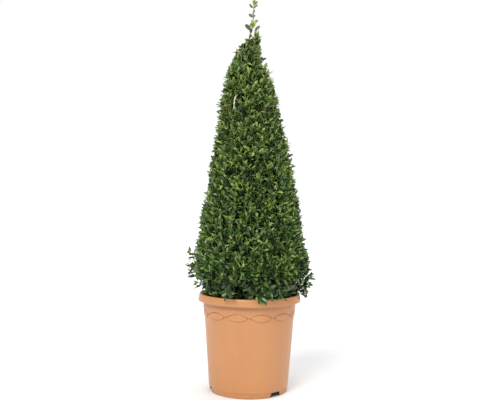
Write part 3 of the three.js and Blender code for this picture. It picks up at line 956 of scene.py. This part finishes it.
# The leader's own leaves: height of the foot, how far aside it is in mm, how far the leaf leans from
# upright (degrees, + to the right), how far it turns to the front, length in mm, width over length,
# how far its blade is turned edge-on, and shade.
LEADER_LEAVES = {
    "foliage_leader_low": [
        (0.903, 0, 12, 25, 14, 0.54, 20, 0),
        (0.905, 0, 176, 15, 11, 0.54, 20, 1),
        (0.911, 0, -40, 10, 22, 0.46, 0, 1),
        (0.914, 0, -56, 12, 15, 0.50, 10, 0),
        (0.915, 0, 27, 15, 23, 0.41, 10, 6),
        (0.917, 0, 6, 30, 17, 0.48, 0, 4),
        (0.919, 0, -14, -30, 17, 0.54, 15, 2),
        (0.910, 8, 44, 10, 20, 0.40, 0, 1),
        (0.931, 0, 62, 10, 15, 0.50, 10, 3),
        (0.931, 0, -41, 10, 9, 0.31, 30, 3),
        (0.909, 0, 10, -62, 18, 0.50, 0, 2),
        (0.922, 0, -8, -58, 17, 0.50, 0, 3),
        (0.923, 0, 6, 62, 13, 0.48, 0, 3),
    ],
    "foliage_leader_middle": [
        (0.945, 0, -52, 10, 14, 0.50, 10, 2),
        (0.944, 0, 28, 20, 9, 0.48, 20, 2),
        (0.948, 0, -10, 30, 8, 0.54, 0, 3),
        (0.957, 0, -20, -55, 10, 0.50, 0, 2),
        (0.958, 0, 20, 60, 9, 0.54, 0, 1),
    ],
    "foliage_leader_top": [
        (0.969, 0, -58, 5, 16, 0.50, 60, 1),
        (0.968, 0, 42, 5, 14, 0.50, 50, 1),
        (0.970, 0, 0, 20, 9, 0.54, 0, 5),
        (0.976, 0, 36, 15, 13, 0.50, 15, 3),
        (0.977, 0, -16, 15, 12, 0.50, 10, 3),
        (0.981, 0, 6, 10, 9, 0.50, 20, 5),
        (0.975, 0, 8, -52, 11, 0.50, 0, 3),
        (0.976, 0, -6, 50, 9, 0.50, 0, 4),
    ],
}


def make_leader():
    """The leader's leaves, one by one."""
    for node, rows in LEADER_LEAVES.items():
        leaves = Leaves()
        for z, aside, lean, turn, length, slim, edge, shade in rows:
            lean, turn, edge = (math.radians(a) for a in (lean, turn, edge))
            flat = np.array([math.sin(lean), 0, math.cos(lean)])
            way = unit(flat * math.cos(turn) + FRONT * math.sin(turn))
            across = unit(np.cross(FRONT, way))
            normal = math.cos(edge) * unit(FRONT - way * (FRONT @ way)) + math.sin(edge) * across
            foot = np.array([*stem_at(z), z]) + [aside * MM, 0, 0]
            at = (foot + 0.0008 * way)[None]
            width = slim * length * MM
            in_top = shade + 2 * SHADES
            leaves.add(at, way[None], normal[None], length * MM, width, 0.3, in_top)
        leaves.build(node.replace("foliage", "leaves"), node)


# The side leader's shoots: how far each one's tip is aside from the side leader's and below it, in
# mm, and its shade.
SIDE_TUFT = ((-3, -1, 4), (3, 3, 3), (-7, 8, 3), (1, 10, 0), (6, 10, 1), (-4, 16, 2), (4, 18, 1))


def make_side_leader():
    """The short shoot beside the leader's foot, with its bark and its tuft of leaves."""
    points = node_points("side_leader")
    low, high = points[:, 2].min(), points[:, 2].max()
    line = [points[np.abs(points[:, 2] - z) < 0.006].mean(0) for z in np.linspace(low, high, 5)]
    stem = stem_at(low - 0.004)
    path = smooth_path([(stem[0], stem[1], low - 0.004), *line], 24)
    radii = np.linspace(1.9, 1.0, 24) * MM
    bark_tube("side_leader_with_bark", path, radii, 10, "side_leader", 0.04, 21, trunk_bark)
    leaves = Leaves()
    tip = line[-1]
    light = unit(np.array([0.2, -0.6, 0.7]))
    for aside, drop, shade in SIDE_TUFT:
        way = unit(np.array([0.04 * aside, -0.2, 1.0]))
        top = tip + np.array([aside, -2, -drop]) * MM
        grow_shoot(leaves, top - 0.018 * way, top, 3, 0.82, shade, light, (44, 16))
    leaves.build("leaves_side_tuft", "foliage_side_tuft")


SPRAY_MARGIN = 0.013  # shoots of a spray end this far inside its CAD box

# Loose sprays at the crown's foot: number of shoots, how the lowest and the highest lean up, the
# height below which the spray draws in, and the middle shade.
SPRAYS = {
    "foliage_left_spray": (12, -0.25, 0.9, 0.300, 1),
    "foliage_right_spray": (14, -0.55, 0.8, 0.262, 0),
    "foliage_front_left_spray": (4, -0.7, -0.1, 0, 0),
    "foliage_front_middle_spray": (12, -0.7, 0.0, 0, 0),
    "foliage_front_right_spray": (4, -0.6, 0.0, 0, 0),
    "foliage_back_left_spray": (6, -0.6, 0.0, 0, 0),
    "foliage_back_right_spray": (6, -0.6, 0.0, 0, 0),
}


def make_sprays():
    """The loose sprays, each within its CAD box, and the twigs of all of them."""
    twigs = Twigs()
    for node, (count, lowest, highest, knee, middle_shade) in SPRAYS.items():
        low, high = (np.array(corner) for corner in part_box(node))
        middle = (low + high) / 2
        out = unit(np.array([middle[0], middle[1], 0]))
        aside = np.cross(UP, out)
        half = (high - low) / 2
        reach = half @ np.abs(out)
        breadth = half @ np.abs(aside)
        leaves = Leaves()
        for share in (np.arange(count) + 0.5) / count:
            z = low[2] + 0.010 + share * (high[2] - low[2] - 0.020)
            away = reach * rng.uniform(-0.3, 0.9) - 0.6 * max(0.0, knee - z)
            tip = middle + out * away + aside * breadth * rng.uniform(-0.75, 0.75)
            tip[2] = z
            tip = np.clip(tip, low + SPRAY_MARGIN, high - SPRAY_MARGIN)
            upward = lowest + share * (highest - lowest)
            way = unit(0.85 * out + upward * UP + rng.normal(0, 0.26, 3))
            base = tip - way * rng.uniform(0.022, 0.032)
            light = unit(0.5 * out + 0.8 * UP)
            shade = middle_shade + int(rng.integers(-1, 2))
            pairs = int(rng.integers(3, 5))
            grow_shoot(leaves, base, tip, pairs, rng.uniform(0.92, 1.1), shade, light)
            foot = base - unit(out + 0.1 * UP) * 0.05
            sag = 0.5 * (foot + base) - 0.004 * UP
            twigs.add([foot, sag, base, tip], [0.0012, 0.001, 0.0008, 0.0004])
        leaves.build(node.replace("foliage", "leaves"), node)
    twigs.build("spray_twigs")


# ---------------------------------------------------------------- stage


FLOOR_HALF = 60.0

# Soft suns: where each shines from, its strength, and its angle in degrees.
SUNS = {
    "key": ((-1.2, -2.2, 2.2), 2.3, 32),
    "fill": ((1.8, -1.7, 1.3), 0.7, 60),
    "top": ((0.3, 0.4, 2.5), 1.3, 60),
    "back": ((0.5, 2.0, 1.4), 0.6, 60),
}


def make_stage():
    """A pale floor, a white backdrop that lights the plant softly, and the suns."""
    corners = [(FLOOR_HALF * x, FLOOR_HALF * y, 0) for x, y in ((-1, -1), (1, -1), (1, 1), (-1, 1))]
    floor_mesh = bpy.data.meshes.new("floor")
    floor_mesh.from_pydata(corners, [], [(0, 1, 2, 3)])
    floor = bpy.data.objects.new("floor", floor_mesh)
    scene.collection.objects.link(floor)
    material, shader = new_material("pale_floor")
    shader.inputs["Base Color"].default_value = (0.80, 0.80, 0.80, 1)
    shader.inputs["Roughness"].default_value = 1.0
    shader.inputs["Specular IOR Level"].default_value = 0.0
    floor_mesh.materials.append(material)

    world = bpy.data.worlds.new("studio")
    scene.world = world
    world.use_nodes = True
    tree = world.node_tree
    lighting = tree.nodes["Background"]
    lighting.inputs["Color"].default_value = (0.96, 0.98, 1, 1)
    lighting.inputs["Strength"].default_value = 0.5
    backdrop = tree.nodes.new("ShaderNodeBackground")
    backdrop.inputs["Color"].default_value = (1, 1, 1, 1)
    seen = tree.nodes.new("ShaderNodeLightPath")
    mix = tree.nodes.new("ShaderNodeMixShader")
    tree.links.new(seen.outputs["Is Camera Ray"], mix.inputs["Fac"])
    tree.links.new(lighting.outputs["Background"], mix.inputs[1])
    tree.links.new(backdrop.outputs["Background"], mix.inputs[2])
    tree.links.new(mix.outputs["Shader"], tree.nodes["World Output"].inputs["Surface"])

    for name, (spot, strength, angle) in SUNS.items():
        light = bpy.data.lights.new(name, "SUN")
        light.energy = strength
        light.angle = math.radians(angle)
        lamp = bpy.data.objects.new(name, light)
        lamp.location = spot
        lamp.rotation_euler = (-Vector(spot)).to_track_quat("-Z", "Y").to_euler()
        scene.collection.objects.link(lamp)


def make_camera():
    camera = bpy.data.objects.new("camera", bpy.data.cameras.new("camera"))
    camera.data.lens = CAMERA_LENS
    camera.data.sensor_width = CAMERA_SENSOR
    camera.location = (CAMERA_SIDE, -CAMERA_DISTANCE, CAMERA_HEIGHT)
    look = Matrix.Rotation(math.radians(90 + CAMERA_PITCH), 4, "X")
    roll = Matrix.Rotation(math.radians(CAMERA_ROLL), 4, "Z")
    camera.rotation_euler = (look @ roll).to_euler()
    scene.collection.objects.link(camera)
    scene.camera = camera


make_camera()
make_stage()
scene.view_settings.view_transform = "Standard"
make_pot()
make_soil()
make_trunk()
bough_paths = make_boughs()
front_bough = bough_paths[1]
bare_stretch = front_bough[(front_bough[:, 2] > BARE_LOW) & (front_bough[:, 2] < BARE_HIGH)]
side_lines = make_laterals(bough_paths, bare_stretch)
make_crown(side_lines, bare_stretch)
make_leader()
make_side_leader()
make_sprays()
